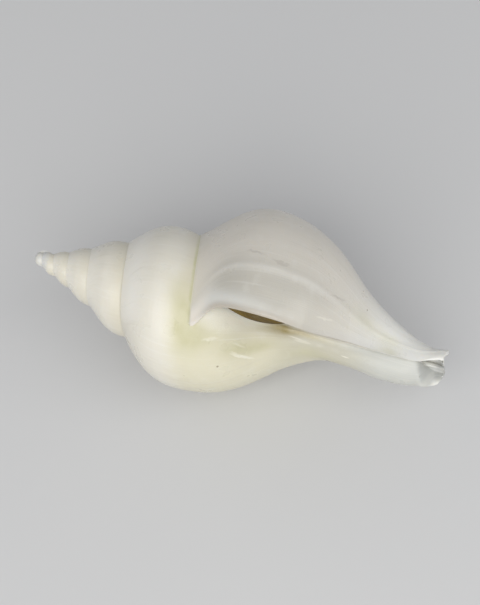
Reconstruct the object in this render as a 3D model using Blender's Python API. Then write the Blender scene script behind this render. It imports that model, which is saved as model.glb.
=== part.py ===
"""A whelk shell with its operculum, lying at rest. Metres, +Z up.

The shell is drawn in its own frame, in millimetres: X runs along the coiling axis from the apex to
the tip of the canal, Y is the side of the back and Z is the side of the outer lip. A place on it is
a growth angle in degrees and a height along the axis. The growth angle is 0 where the shell ends at
its lip, and it falls by 360 for each whorl towards the apex.
"""
import math

import bmesh
import bpy
import numpy as np
from mathutils import Matrix

MM = 0.001

# Driving sizes of the spiral, in millimetres and degrees
SHELL_END = 115.4
APEX_HEIGHT = -0.35
SUTURE_HEIGHT = 30.0
SUTURE_HEIGHT_ANGLE = -270.0
HEIGHT_GROWTH = 1.666
LAST_WHORL_DROP = 2.8
LAST_WHORL_DROP_TURN = 180.0
SUTURE_RADIUS = 17.9
SUTURE_RADIUS_ANGLE = -90.0
RADIUS_GROWTH = 1.64
FIRST_ANGLE = -2250.0

# The first whorls are crowded, and the blunt knob at the apex leans to one side
APEX_PULL = 1.6
APEX_PULL_ANGLE = -1260.0
APEX_PULL_TURN = 540.0
APEX_LEAN = 0.45
APEX_LEAN_START = 1.5
APEX_LEAN_LENGTH = 3.0
KNOB_POWER = 0.75
KNOB_BULGE = 0.25

# How far a whorl swells past the straight line between its two sutures, as a share of its height
SWELL_ANGLES = (-1200, -810, -630, -450, -270, -90, 0)
SWELL = (0.115, 0.122, 0.155, 0.200, 0.205, 0.186, 0.182)
SWELL_SKEW = (1.10, 1.10, 1.10, 0.95, 0.84, 1.06, 1.10)
SWELL_START = (1.05, 1.05, 1.10, 1.12, 1.05, 1.30, 1.35)

# The base of the last whorl: radius against height, both as shares of those at its foot
BASE_HEIGHTS = (1.0, 1.05, 1.116, 1.18, 1.243, 1.306, 1.37, 1.43, 1.50, 1.56, 1.65, 1.75, 2.4)
BASE_RADII = (1.0, 0.969, 0.902, 0.812, 0.690, 0.555, 0.442, 0.356, 0.273, 0.208, 0.115, 0.04, 0.0)
LIP_BASE_SHORTENING = 0.10

# How far the base draws in beside the canal over the last quarter turn before the lip
PINCH_HEIGHTS = (76.0, 79.0, 82.0, 86.0, 90.0, 94.0, 98.0, 102.0, 106.0, 110.0)
PINCH = (0.0, 0.7, 2.2, 4.2, 5.6, 5.5, 4.2, 2.4, 0.7, 0.0)
PINCH_ANGLE = -78.0
PINCH_TURN = 75.0

# The neck round the canal, by height
NECK_HEIGHTS = (60.0, 81.0, 92.5, 99.0, 104.4, 108.8, 111.0, 113.1, 114.3, 116.0)
NECK_RADII = (3.6, 5.1, 5.4, 5.8, 5.8, 5.45, 5.3, 5.3, 5.15, 5.1)
NECK_RISE = (0.0, -0.3, -0.5, -0.9, -0.8, -0.4, -0.15, 0.35, 0.7, 1.0)
NECK_SETBACK = 3.3
NECK_SETBACK_START = 80.0
NECK_LEAD = 64.0
NECK_CLOSING = 48.0
GUTTER_START = 106.0
GUTTER_LENGTH = 7.5
GUTTER_DELAY = 25.0
GUTTER_CLOSING = 2.0
GUTTER_HOLLOW = 1.7
PILLAR_HEIGHTS = (20.0, 78.0, 92.0, 103.0, 116.0)
PILLAR_RADII = (3.0, 3.2, 2.9, 1.6, 0.5)
BLEND = 2.4

# The growing edge
LIP_ANGLE = -3.0
LIP_SUTURE_ANGLE = 17.0
LIP_SINUS = 0.160
LIP_SINUS_SHARPNESS = 2.1
LIP_BEND_HEIGHTS = (52.0, 58.0, 64.0, 73.0, 81.0, 89.0, 97.0, 103.0, 108.0, 111.0, 113.4)
LIP_BEND = (0.0, 0.5, 0.6, 0.9, 1.6, 0.4, 0.0, -0.3, -1.8, -10.5, -17.0)
LIP_BEND_REACH = 0.12

# The wavy end of the canal
TIP_ANGLES = (
    -360, -330, -300, -285, -270, -240, -210, -180, -150, -130, -112, -88, -75, -62, -50, -38, -30, -20, -3
)
TIP_HEIGHTS = (
    114.8, 115.2, 115.7, 115.3, 115.6, 115.6, 115.3, 114.75, 114.2, 113.7, 113.2, 113.6, 114.1, 114.9, 115.05,
    114.7, 114.35, 114.3, 114.3
)
TIP_DISH = 0.6

# Walls: thin at the lip, thicker behind it, thinner again in the older whorls
WALL = 1.7
WALL_GROWTH = 0.6
LIP_WALL = 1.25
LIP_WALL_WIDTH = 2.0
LIP_WALL_RAMP = 30.0
CALLUS = 0.35
CALLUS_EDGE = 0.22
CALLUS_EDGE_WIDTH = 4.0
LEAST_RADIUS = 0.5
STEEPEST_SLOPE = 1.6
SLOPE_STEP = 0.05

# The hollow: it starts outside the lip and ends two whorls up
CAVITY_START = 12.0
CAVITY_DEPTH = -620.0
CAVITY_ROOF = 1.15
CAVITY_OVERRUN = 9.0
CAVITY_SQUARENESS = 6
CAVITY_LEAST_HALF = 0.15
LIP_SWEEP_KEPT = 20.0
LIP_SWEEP_FADE = 100.0
CANAL_CLOSED_ANGLE = -165.0
CANAL_OPENING = 45.0
CLOSED_FOOT = 1.49
CLOSED_FOOT_RISE = 0.05

# The operculum: a horny plate across the aperture, a little behind the lip
OPERCULUM_TOP = 52.5
OPERCULUM_FOOT = 83.0
OPERCULUM_INNER_LEVEL = -0.3
OPERCULUM_OUTER_LEVEL = 4.3
OPERCULUM_BULGE = 1.9
OPERCULUM_BULGE_HEIGHT = 63.0
OPERCULUM_BULGE_LENGTH = 9.0
OPERCULUM_THICKNESS = 0.9
OPERCULUM_ROUNDNESS = 2.2
OPERCULUM_GAP = 0.45
OPERCULUM_END_MARGIN = 0.015
OPERCULUM_EDGE_THINNING = 0.5
OPERCULUM_ROWS = 14
OPERCULUM_COLUMNS = 8

# Where the shell rests: a worn flat on the left of the body whorl, under the centre of mass
REST_ANGLE = -201.0
REST_HEIGHT = 54.9
REST_DEPTH = 0.24
FLOOR_BLOCK = 160.0

SHARP_ANGLE = 50.0

# How finely the mesh follows the shape
COLUMNS = 38
WHORL_ROWS = 7
WHORL_CROWDING = 1.15
BASE_ROWS = 20
BASE_CROWDING = 1.35
BASE_SETTLE = 2.6
NECK_ALIGN_START = 90.0
NECK_ALIGN_LENGTH = 10.0
CAVITY_STEP = 8.9
CAVITY_STEP_GROWTH = 1.012
CAVITY_ROWS = 17


def smoothstep(x):
    x = np.clip(x, 0.0, 1.0)
    return x * x * (3.0 - 2.0 * x)


def smooth_curve(x, xs, ys):
    """A smooth curve through the points (xs, ys), level at both ends."""
    xs = np.asarray(xs, float)
    ys = np.asarray(ys, float)
    x = np.clip(x, xs[0], xs[-1])
    slopes = np.zeros(len(xs))
    steps = np.diff(ys) / np.diff(xs)
    slopes[1:-1] = np.where(steps[:-1] * steps[1:] > 0, (steps[:-1] + steps[1:]) / 2, 0.0)
    slopes[0] = steps[0]
    slopes[-1] = steps[-1]
    i = np.clip(np.searchsorted(xs, x) - 1, 0, len(xs) - 2)
    span = xs[i + 1] - xs[i]
    t = (x - xs[i]) / span
    return (
        ys[i] * (1 + 2 * t) * (1 - t) ** 2
        + ys[i + 1] * t * t * (3 - 2 * t)
        + slopes[i] * span * t * (1 - t) ** 2
        - slopes[i + 1] * span * t * t * (1 - t)
    )


def larger_of(a, b, blend):
    """The larger of two radii, with a fillet where they cross."""
    near = np.maximum(blend - np.abs(a - b), 0.0) / blend
    return np.maximum(a, b) + near * near * blend / 4


def suture_height(angle):
    turns = (angle - SUTURE_HEIGHT_ANGLE) / 360
    drop = LAST_WHORL_DROP * smoothstep((angle - SUTURE_HEIGHT_ANGLE) / LAST_WHORL_DROP_TURN)
    pull = APEX_PULL * smoothstep((APEX_PULL_ANGLE - angle) / APEX_PULL_TURN)
    return SUTURE_HEIGHT * HEIGHT_GROWTH**turns + drop - pull


def suture_radius(angle):
    return SUTURE_RADIUS * RADIUS_GROWTH ** ((angle - SUTURE_RADIUS_ANGLE) / 360)


def swelling(angle, share):
    """The swelling of a whorl at a share of the way from its upper to its lower suture."""
    depth = smooth_curve(angle, SWELL_ANGLES, SWELL)
    skew = smooth_curve(angle, SWELL_ANGLES, SWELL_SKEW)
    start = smooth_curve(angle, SWELL_ANGLES, SWELL_START)
    share = np.clip(share, 0.0, 1.0)
    wave = np.sin(math.pi * share**skew)
    rising = share**skew < 0.5
    return depth * np.where(rising, np.abs(wave) ** start, wave)


def whorl_radius(angle, height):
    """Radius of the whorl alone, without the neck."""
    top = suture_height(angle)
    foot = suture_height(angle + 360)
    top_radius = suture_radius(angle)
    foot_radius = suture_radius(angle + 360)
    share = (height - top) / (foot - top)
    side = top_radius + share * (foot_radius - top_radius) + swelling(angle, share) * (foot - top)
    shortening = LIP_BASE_SHORTENING * smoothstep((angle + 90) / 90)
    reach = 1 + (height - foot) / (foot * (1 - shortening))
    base = foot_radius * smooth_curve(reach, BASE_HEIGHTS, BASE_RADII)
    base = base - smoothstep((angle - PINCH_ANGLE) / PINCH_TURN) * smooth_curve(height, PINCH_HEIGHTS, PINCH)
    return np.where(share > 1, base, side)


def setback(height):
    """How far the centre of the neck's spiral stands back from the coiling axis."""
    rise = (height - NECK_SETBACK_START) / (SHELL_END - NECK_SETBACK_START)
    return NECK_SETBACK * smoothstep(rise)


def pillar_radius(angle, height):
    scale = RADIUS_GROWTH ** (np.minimum(angle + 360, 0.0) / 360)
    return scale * smooth_curve(height, PILLAR_HEIGHTS, PILLAR_RADII)


def neck_radius(angle, height):
    """Radius of the neck from the centre of its own spiral."""
    radius = smooth_curve(height, NECK_HEIGHTS, NECK_RADII)
    rise = smooth_curve(height, NECK_HEIGHTS, NECK_RISE)
    back = setback(height)
    turn = np.radians(angle)
    towards = rise * -np.sin(turn) + back * np.cos(turn)
    outline = towards + np.sqrt(np.maximum(towards**2 - rise**2 - back**2 + radius**2, 0.01))
    late = smoothstep((height - GUTTER_START) / GUTTER_LENGTH)
    opened = angle + 360 + NECK_LEAD * (1 - late) - GUTTER_DELAY * late
    part = np.clip(opened / (NECK_CLOSING + GUTTER_CLOSING * late), 0.0, 1.0)
    share = smoothstep(part) ** (1 + (GUTTER_HOLLOW - 1) * late)
    pillar = pillar_radius(angle, height)
    return pillar + share * (outline - pillar)


def outer_radius(angle, height):
    """Radius of the outside of the shell at a growth angle and a height."""
    return larger_of(whorl_radius(angle, height), neck_radius(angle, height), BLEND)


def place(angle, height, radius):
    """The point, or the row of points, at an angle, a height and a radius."""
    turn = np.radians(angle)
    lean = APEX_LEAN * (1 - smoothstep((height - APEX_LEAN_START) / APEX_LEAN_LENGTH))
    side = lean - radius * np.sin(turn)
    front = radius * np.cos(turn) - setback(height)
    return np.stack(np.broadcast_arrays(height, side, front), axis=-1)


def tip_height(angle):
    """The wavy end of the canal."""
    return smooth_curve(angle, TIP_ANGLES, TIP_HEIGHTS)


def lip_sinus(share):
    """How much of the forward sweep at the suture is left at a share of the way to the lower one."""
    return np.exp(-((np.clip(share, 0.0, 3.0) / LIP_SINUS) ** LIP_SINUS_SHARPNESS))


def lip_bend(height):
    """How far the lip's edge strays from a straight line, in degrees of growth."""
    return smooth_curve(height, LIP_BEND_HEIGHTS, LIP_BEND)


def lip_angle(height):
    """The growth angle of the outer lip at a height: its edge sweeps forward at the suture."""
    share = (height - suture_height(0.0)) / (suture_height(360.0) - suture_height(0.0))
    sinus = (LIP_SUTURE_ANGLE - LIP_ANGLE) * lip_sinus(share)
    return LIP_ANGLE + sinus + lip_bend(height)


def column_angle(turns):
    """Growth angle of a mesh column at its lower suture, by whorls before the lip (0, -1, -2...)."""
    return 360 * turns + smooth_curve(turns, (-1.6, -1.0, 0.0), (0.0, LIP_SUTURE_ANGLE, LIP_ANGLE))


def zip_strips(left, right, points):
    """Triangles between two rows of vertices that start together or side by side."""
    faces = []
    i = j = 0
    while i < len(left) - 1 or j < len(right) - 1:
        if i == len(left) - 1:
            step_left = False
        elif j == len(right) - 1:
            step_left = True
        else:
            ahead_left = np.linalg.norm(points[left[i + 1]] - points[right[j]])
            ahead_right = np.linalg.norm(points[left[i]] - points[right[j + 1]])
            step_left = ahead_left <= ahead_right
        if step_left:
            faces.append((left[i], left[i + 1], right[j]))
            i += 1
        else:
            faces.append((left[i], right[j + 1], right[j]))
            j += 1
    return [f for f in faces if len(set(f)) == 3]


def mesh_object(name, points, faces, collection):
    mesh = bpy.data.meshes.new(name)
    mesh.from_pydata([tuple(p) for p in np.asarray(points) * MM], [], faces)
    work = bmesh.new()
    work.from_mesh(mesh)
    bmesh.ops.recalc_face_normals(work, faces=work.faces)
    work.to_mesh(mesh)
    work.free()
    made = bpy.data.objects.new(name, mesh)
    collection.objects.link(made)
    return made


def shell_outside(collection):
    """The shell as a filled body: a strip that winds down from the apex, closed at the lip."""
    turns = -FIRST_ANGLE / 360
    last = round(turns * COLUMNS)
    shares = np.linspace(0, 1, WHORL_ROWS + 1) ** WHORL_CROWDING
    points = [np.array([APEX_HEIGHT, APEX_LEAN, 0.0])]
    index = {}

    def add(key, point):
        index[key] = len(points)
        points.append(point)

    for k in range(last + 1):
        along = (k - last) / COLUMNS
        foot_angle = column_angle(along)
        top_angle = column_angle(along - 1) + 360
        for j, share in enumerate(shares):
            if j == 0:
                index[k, 0] = index[k - COLUMNS, WHORL_ROWS] if k >= COLUMNS else 0
                continue
            angle = foot_angle + (top_angle - foot_angle) * lip_sinus(share)
            top = suture_height(angle)
            foot = suture_height(angle + 360)
            angle += lip_bend(top + share * (foot - top)) * smoothstep(along / LIP_BEND_REACH + 1)
            top = suture_height(angle)
            foot = suture_height(angle + 360)
            if k < COLUMNS:
                # The first whorl rises from the apex itself, as a dome
                height = APEX_HEIGHT + (foot - APEX_HEIGHT) * (1 - math.cos(share * math.pi / 2))
                radius = suture_radius(angle + 360) * math.sin(share * math.pi / 2) ** KNOB_POWER
                radius += KNOB_BULGE * math.sin(share * math.pi)
            else:
                height = top + share * (foot - top)
                radius = outer_radius(angle, height)
            add((k, j), place(angle, height, radius))
    base_shares = 1 - (1 - np.linspace(0, 1, BASE_ROWS + 1)) ** BASE_CROWDING
    for k in range(last - COLUMNS, last + 1):
        along = (k - last) / COLUMNS
        foot_angle = column_angle(along)
        foot = suture_height(foot_angle + 360)
        for j, share in enumerate(base_shares[1:], start=WHORL_ROWS + 1):
            guess = foot + share * (tip_height(foot_angle) - foot)
            settle = 1 - np.exp(-(guess - foot) / BASE_SETTLE)
            at_start = (LIP_ANGLE - LIP_SUTURE_ANGLE) * settle * -along
            aligned = smoothstep((guess - NECK_ALIGN_START) / NECK_ALIGN_LENGTH)
            aligned += (1 - aligned) * smoothstep(along / LIP_BEND_REACH + 1)
            angle = foot_angle + at_start + (lip_angle(guess) - LIP_ANGLE) * aligned
            height = foot + share * (tip_height(angle) - foot)
            add((k, j), place(angle, height, outer_radius(angle, height)))
    faces = []
    for k in range(last):
        rows = WHORL_ROWS + BASE_ROWS if k >= last - COLUMNS else WHORL_ROWS
        if k == COLUMNS - 1:
            left = [index[k, j] for j in range(WHORL_ROWS + 1)]
            right = [index[0, j] for j in range(WHORL_ROWS + 1)]
            right += [index[COLUMNS, j] for j in range(1, WHORL_ROWS + 1)]
            faces += zip_strips(left, right, points)
            continue
        for j in range(rows):
            corners = (index[k, j], index[k, j + 1], index[k + 1, j + 1], index[k + 1, j])
            faces.append(tuple(dict.fromkeys(corners)))
    end = WHORL_ROWS + BASE_ROWS
    lip = [index[last, j] for j in range(end + 1)]
    inner = [index[last - COLUMNS, j] for j in range(WHORL_ROWS, end + 1)]
    faces += zip_strips(lip, inner, points)
    centre = len(points)
    points.append(np.array([SHELL_END - TIP_DISH, 0.0, -setback(SHELL_END)]))
    ring = [index[k, end] for k in range(last - COLUMNS, last + 1)]
    faces += [(a, b, centre) for a, b in zip(ring, ring[1:] + ring[:1])]
    return mesh_object("shell", points, faces, collection)


def wall_thickness(lip_turn):
    """Thickness of the wall at an angle behind the lip."""
    grown = WALL * RADIUS_GROWTH ** (WALL_GROWTH * np.minimum(lip_turn, 0.0) / 360)
    return LIP_WALL + (grown - LIP_WALL) * smoothstep((-lip_turn - LIP_WALL_WIDTH) / LIP_WALL_RAMP)


def inner_wall(angle, height, lip_turn):
    """Radius of the wall towards the axis, with its callus."""
    behind = smoothstep((-lip_turn - CALLUS_EDGE_WIDTH) / LIP_WALL_RAMP)
    callus = CALLUS_EDGE + (CALLUS - CALLUS_EDGE) * behind
    return np.maximum(outer_radius(angle - 360, height), LEAST_RADIUS) + callus


def outer_wall(angle, height, lip_turn):
    """Radius of the inside face of the outer wall."""
    rise = outer_radius(angle, height + SLOPE_STEP) - outer_radius(angle, height - SLOPE_STEP)
    slope = np.minimum(np.abs(rise / (2 * SLOPE_STEP)), STEEPEST_SLOPE)
    return outer_radius(angle, height) - wall_thickness(lip_turn) * np.sqrt(1 + slope**2)


def cavity_section(lip_turn):
    """One closed loop of the hollow, at an angle behind the lip: down the wall, up the pillar."""
    fade = 1 - smoothstep((-lip_turn - LIP_SWEEP_KEPT) / LIP_SWEEP_FADE)
    top_angle = lip_turn + fade * LIP_SUTURE_ANGLE
    top = suture_height(top_angle) + CAVITY_ROOF * wall_thickness(lip_turn)
    open_end = SHELL_END + CAVITY_OVERRUN
    foot_share = CLOSED_FOOT - CLOSED_FOOT_RISE * smoothstep((-lip_turn - 360) / 360)
    closed_end = suture_height(lip_turn + 360) * foot_share
    opening = smoothstep((lip_turn - CANAL_CLOSED_ANGLE) / CANAL_OPENING)
    bottom = closed_end + (open_end - closed_end) * opening
    shares = (1 - np.cos(np.linspace(0, math.pi, CAVITY_ROWS + 2))) / 2
    heights = top + shares * (bottom - top)
    angles = lip_turn + fade * lip_angle(heights)
    outside = outer_wall(angles, heights, lip_turn)
    inside = inner_wall(angles, heights, lip_turn)
    middle = (outside + inside) / 2
    half = np.maximum((outside - inside) / 2, CAVITY_LEAST_HALF)
    rounding = np.sqrt(np.clip(1 - np.abs(2 * shares - 1) ** CAVITY_SQUARENESS, 0.0, 1.0))
    outer = place(angles, heights, middle + half * rounding)
    inner = place(angles, heights, middle - half * rounding)
    return np.concatenate([outer, inner[-2:0:-1]])


def shell_hollow(collection):
    """The space inside the last two whorls and the canal, as a closed body to cut away."""
    turns = [CAVITY_START]
    step = CAVITY_STEP
    while turns[-1] > CAVITY_DEPTH:
        turns.append(turns[-1] - step)
        step *= CAVITY_STEP_GROWTH
    loops = [cavity_section(turn) for turn in turns]
    size = len(loops[0])
    points = list(np.concatenate(loops))
    faces = []
    for i in range(len(loops) - 1):
        for j in range(size):
            n = (j + 1) % size
            faces.append((i * size + j, i * size + n, (i + 1) * size + n, (i + 1) * size + j))
    for loop, base in ((loops[0], 0), (loops[-1], (len(loops) - 1) * size)):
        centre = len(points)
        points.append(loop.mean(axis=0))
        faces += [(base + j, base + (j + 1) % size, centre) for j in range(size)]
    return mesh_object("hollow", points, faces, collection)


def operculum_row(height, share, face):
    """A row of points across the plate, from the columella's side to the lip's side."""
    bulge = (height - OPERCULUM_BULGE_HEIGHT) / OPERCULUM_BULGE_LENGTH
    inner_level = OPERCULUM_INNER_LEVEL + OPERCULUM_BULGE * bulge**2
    spread = np.sqrt(1 - np.abs(2 * share - 1) ** OPERCULUM_ROUNDNESS) / 2
    across = np.linspace(0.5 - spread, 0.5 + spread, OPERCULUM_COLUMNS + 1)
    levels = inner_level + across * (OPERCULUM_OUTER_LEVEL - inner_level)
    angles = np.zeros(len(across))
    for _ in range(6):
        lip_turns = angles - lip_angle(height)
        low = inner_wall(angles, height, lip_turns) + OPERCULUM_GAP
        high = outer_wall(angles, height, lip_turns) - OPERCULUM_GAP
        radii = low + across * (high - low)
        angles = -np.degrees(np.arcsin(levels / radii))
    edge = np.abs(2 * across - 1) ** 4
    thickness = OPERCULUM_THICKNESS * (1 - OPERCULUM_EDGE_THINNING * edge)
    return place(angles + face * np.degrees(thickness / 2 / radii), height, radii)


def operculum(collection):
    """The horny plate that closes the aperture just behind the lip."""
    shares = np.linspace(OPERCULUM_END_MARGIN, 1 - OPERCULUM_END_MARGIN, OPERCULUM_ROWS + 1)
    heights = OPERCULUM_TOP + shares * (OPERCULUM_FOOT - OPERCULUM_TOP)
    columns = OPERCULUM_COLUMNS + 1
    points = []
    for face in (1, -1):
        for height, share in zip(heights, shares):
            points += list(operculum_row(height, share, face))
    half = len(points) // 2
    faces = []
    for i in range(OPERCULUM_ROWS):
        for j in range(OPERCULUM_COLUMNS):
            a = i * columns + j
            faces.append((a, a + 1, a + columns + 1, a + columns))
            faces.append((half + a, half + a + columns, half + a + columns + 1, half + a + 1))
    rim = list(range(columns))
    rim += [i * columns + columns - 1 for i in range(1, OPERCULUM_ROWS + 1)]
    rim += [OPERCULUM_ROWS * columns + j for j in range(columns - 2, -1, -1)]
    rim += [i * columns for i in range(OPERCULUM_ROWS - 1, 0, -1)]
    for a, b in zip(rim, rim[1:] + rim[:1]):
        faces.append((a, half + a, half + b, b))
    return mesh_object("operculum", points, faces, collection)


def rest_matrix():
    """The turn, and the move in millimetres, that lay the shell on its worn flat."""
    spot = place(REST_ANGLE, REST_HEIGHT, outer_radius(REST_ANGLE, REST_HEIGHT))
    tangents = []
    for angle_step, height_step in ((SLOPE_STEP, 0.0), (0.0, SLOPE_STEP)):
        ends = []
        for sign in (1, -1):
            angle = REST_ANGLE + sign * angle_step
            height = REST_HEIGHT + sign * height_step
            ends.append(place(angle, height, outer_radius(angle, height)))
        tangents.append(ends[0] - ends[1])
    down = np.cross(tangents[0], tangents[1])
    down *= np.sign(down @ (spot - np.array([REST_HEIGHT, 0.0, 0.0]))) / np.linalg.norm(down)
    along = np.array([1.0, 0.0, 0.0]) - down[0] * down
    along /= np.linalg.norm(along)
    turn = np.array([along, np.cross(-down, along), -down])
    lift = -REST_DEPTH - turn[2] @ spot
    return turn, np.array([0.0, 0.0, lift])


def floor_block(collection):
    """A block under the floor, which takes off what would sink into it."""
    half = FLOOR_BLOCK / 2
    corners = [(x, y, z) for x in (-half, half) for y in (-half, half) for z in (-FLOOR_BLOCK, 0.0)]
    faces = [(0, 1, 3, 2), (4, 6, 7, 5), (0, 4, 5, 1), (2, 3, 7, 6), (0, 2, 6, 4), (1, 5, 7, 3)]
    return mesh_object("floor_block", corners, faces, collection)


def cut_away(target, cutter, own_faces):
    """Take the cutter's space out of the target."""
    cut = target.modifiers.new(cutter.name, "BOOLEAN")
    cut.operation = "DIFFERENCE"
    cut.solver = "EXACT"
    cut.use_self = own_faces
    cut.object = cutter
    cutter.hide_render = True
    cutter.display_type = "WIRE"


def material(name, colour, roughness):
    made = bpy.data.materials.new(name)
    made.use_nodes = True
    shader = made.node_tree.nodes["Principled BSDF"]
    shader.inputs["Base Color"].default_value = (*colour, 1.0)
    shader.inputs["Roughness"].default_value = roughness
    shader.inputs["Metallic"].default_value = 0.0
    return made


def ivory_shell():
    return material("ivory_shell", (0.86, 0.83, 0.73), 0.32)


def brown_horn():
    return material("brown_horn", (0.23, 0.15, 0.045), 0.45)


def clear_scene():
    for old in list(bpy.data.objects):
        bpy.data.objects.remove(old, do_unlink=True)


def lay_down(pieces):
    """Turn the pieces to their rest, with the middle of the shell's box over the origin."""
    turn, move = rest_matrix()
    shell = pieces[0]
    points = np.array([vertex.co for vertex in shell.data.vertices]) / MM @ turn.T
    middle = (points.max(axis=0) + points.min(axis=0)) / 2
    move -= np.array([middle[0], middle[1], 0.0])
    rest = Matrix.Translation(move * MM) @ Matrix(turn.tolist()).to_4x4()
    for piece in pieces:
        piece.data.transform(rest)
        piece.data.shade_smooth()
        piece.data.set_sharp_from_angle(angle=math.radians(SHARP_ANGLE))


def build():
    clear_scene()
    parts = bpy.data.collections.new("neptunea_shell")
    cutters = bpy.data.collections.new("cutters")
    bpy.context.scene.collection.children.link(parts)
    bpy.context.scene.collection.children.link(cutters)
    shell = shell_outside(parts)
    plate = operculum(parts)
    hollow = shell_hollow(cutters)
    lay_down([shell, plate, hollow])
    shell.data.materials.append(ivory_shell())
    plate.data.materials.append(brown_horn())
    cut_away(shell, hollow, True)
    cut_away(shell, floor_block(cutters), False)


build()
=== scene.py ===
import math

import bmesh
import bpy
import numpy as np
from mathutils import Matrix, Vector


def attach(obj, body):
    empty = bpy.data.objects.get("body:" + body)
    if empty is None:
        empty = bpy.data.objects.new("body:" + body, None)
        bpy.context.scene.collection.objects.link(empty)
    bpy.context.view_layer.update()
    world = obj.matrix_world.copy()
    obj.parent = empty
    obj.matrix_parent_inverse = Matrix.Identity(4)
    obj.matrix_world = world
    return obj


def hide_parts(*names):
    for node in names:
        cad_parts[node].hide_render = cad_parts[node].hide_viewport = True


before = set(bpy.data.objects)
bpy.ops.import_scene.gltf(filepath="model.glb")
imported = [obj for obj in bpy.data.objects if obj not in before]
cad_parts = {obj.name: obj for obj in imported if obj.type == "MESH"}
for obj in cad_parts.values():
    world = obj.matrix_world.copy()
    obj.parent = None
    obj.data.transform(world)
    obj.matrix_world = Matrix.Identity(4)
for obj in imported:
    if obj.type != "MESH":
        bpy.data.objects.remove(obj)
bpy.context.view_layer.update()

print("frame loaded")

# The shell is drawn in its own frame, in millimetres: X along the coiling axis from the apex to the
# tip of the canal, Y towards the back, Z towards the lip. Growth angle 0 is the lip.
spiral = dict(
    shellEnd=115.4,
    apexHeight=-0.35,
    sutureHeight=30.0,
    sutureHeightAngle=-270.0,
    heightGrowth=1.666,
    lastDrop=2.8,
    lastDropTurn=180.0,
    sutureRadius=17.9,
    sutureRadiusAngle=-90.0,
    radiusGrowth=1.64,
    firstAngle=-2250.0,
    apexPull=1.6,         # the first whorls are crowded and the knob at the apex is blunt
    apexPullAngle=-1260.0,
    apexPullTurn=540.0,
    apexLean=0.45,
    apexLeanSpan=(1.5, 3.0),
    knobPower=0.75,
    knobBulge=0.25,
    swellAngles=(-1200, -810, -630, -450, -270, -90, 0),
    swell=(0.115, 0.122, 0.155, 0.200, 0.205, 0.186, 0.182),
    swellSkew=(1.10, 1.10, 1.10, 0.95, 0.84, 1.06, 1.10),
    swellStart=(1.05, 1.05, 1.10, 1.12, 1.05, 1.30, 1.35),
    baseHeights=(1.0, 1.05, 1.116, 1.18, 1.243, 1.306, 1.37, 1.43, 1.50, 1.56, 1.65, 1.75, 2.4),
    baseRadii=(1.0, 0.969, 0.902, 0.812, 0.690, 0.555, 0.442, 0.356, 0.273, 0.208, 0.115, 0.04, 0.0),
    lipBaseShortening=0.10,
    lipBaseTurn=90.0,
    pinchHeights=(76.0, 79.0, 82.0, 86.0, 90.0, 94.0, 98.0, 102.0, 106.0, 110.0),
    pinch=(0.0, 0.7, 2.2, 4.2, 5.6, 5.5, 4.2, 2.4, 0.7, 0.0),   # how far the base draws in beside the canal
    pinchSpan=(-78.0, 75.0),
)
neck = dict(
    heights=(60.0, 81.0, 92.5, 99.0, 104.4, 108.8, 111.0, 113.1, 114.3, 116.0),
    radii=(3.6, 5.1, 5.4, 5.8, 5.8, 5.45, 5.3, 5.3, 5.15, 5.1),
    rise=(0.0, -0.3, -0.5, -0.9, -0.8, -0.4, -0.15, 0.35, 0.7, 1.0),
    setback=3.3,
    setbackStart=80.0,
    lead=64.0,            # degrees before the lip where the neck's wall starts to rise towards it
    closing=48.0,
    gutterSpan=(106.0, 7.5),
    gutterDelay=25.0,
    gutterClosing=2.0,
    gutterHollow=1.7,
    pillarHeights=(20.0, 78.0, 92.0, 103.0, 116.0),
    pillarRadii=(3.0, 3.2, 2.9, 1.6, 0.5),
    blend=2.4,
)
lip = dict(
    angle=-3.0,
    sutureAngle=15.7,
    columnTurns=(-1.6, -1.0, 0.0),   # before the lip the columns turn slowly into its line
    sinus=0.168,
    sinusSharpness=1.75,
    bendHeights=(52.0, 58.0, 64.0, 73.0, 81.0, 89.0, 97.0, 103.0, 108.0, 111.0, 113.4),
    bendAngles=(0.0, 0.5, 0.6, 0.9, 1.6, 0.4, 0.0, -0.3, -1.8, -10.5, -17.0),
    toeTurn=2.6,
    toeShare=0.055,
    tipAngles=(
        -360, -330, -315, -300, -285, -270, -240, -210, -180, -150,
        -130, -112, -88, -75, -62, -50, -38, -30, -20, -3,
    ),
    tipHeights=(
        114.8, 115.4, 115.5, 114.8, 113.7, 112.8, 112.9, 114.0, 114.5, 114.2,
        113.7, 113.2, 113.6, 114.1, 114.9, 115.05, 114.7, 114.35, 114.3, 114.3,
    ),
)
walls = dict(
    thickness=1.7,
    growth=0.6,
    lip=1.25,
    lipWidth=2.0,
    lipRamp=30.0,
    callus=0.35,
    callusEdge=0.22,
    callusEdgeWidth=4.0,
    callusSpread=11.0,      # degrees that the glaze reaches out of the aperture
    steepest=1.6,
    deepest=-620.0,
    roof=1.15,
    overrun=9.0,
    squareness=6,
    sweepSpan=(20.0, 100.0),
    canalOpening=(-165.0, 45.0),
    closedFoot=1.49,
    closedFootRise=0.05,
    lipDepth=12.0,          # degrees behind the lip over which the hollow takes its full shape
    callusRamp=3.5,
    narrowest=0.3,
    narrowestRamp=2.0,
    leastRadius=0.5,
    leastGap=0.02,
    closedGap=0.001,        # nearer than this, the two sides of the lining have met
    lipClearance=0.05,      # the lip's outside stays this far off the whorl before it
    baseClearance=0.10,
    crestRise=0.3,          # the worn crest at the canal's end
    crestEnds=8,
    rimLength=1.2,          # how far back the rounding of the lip reaches
    thinStart=(70.0, 12.0),   # beside the canal the lip thins out to a fine edge
    thinEnd=(102.0, 12.0),
    thinWidth=9.0,
    thinShare=0.9,
)
pose = dict(
    restAngle=-201.0,
    restHeight=54.9,
    move=(-57.15660, -3.04879, 31.83979),
)


def smoothstep(x):
    x = np.clip(x, 0.0, 1.0)
    return x * x * (3.0 - 2.0 * x)


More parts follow.
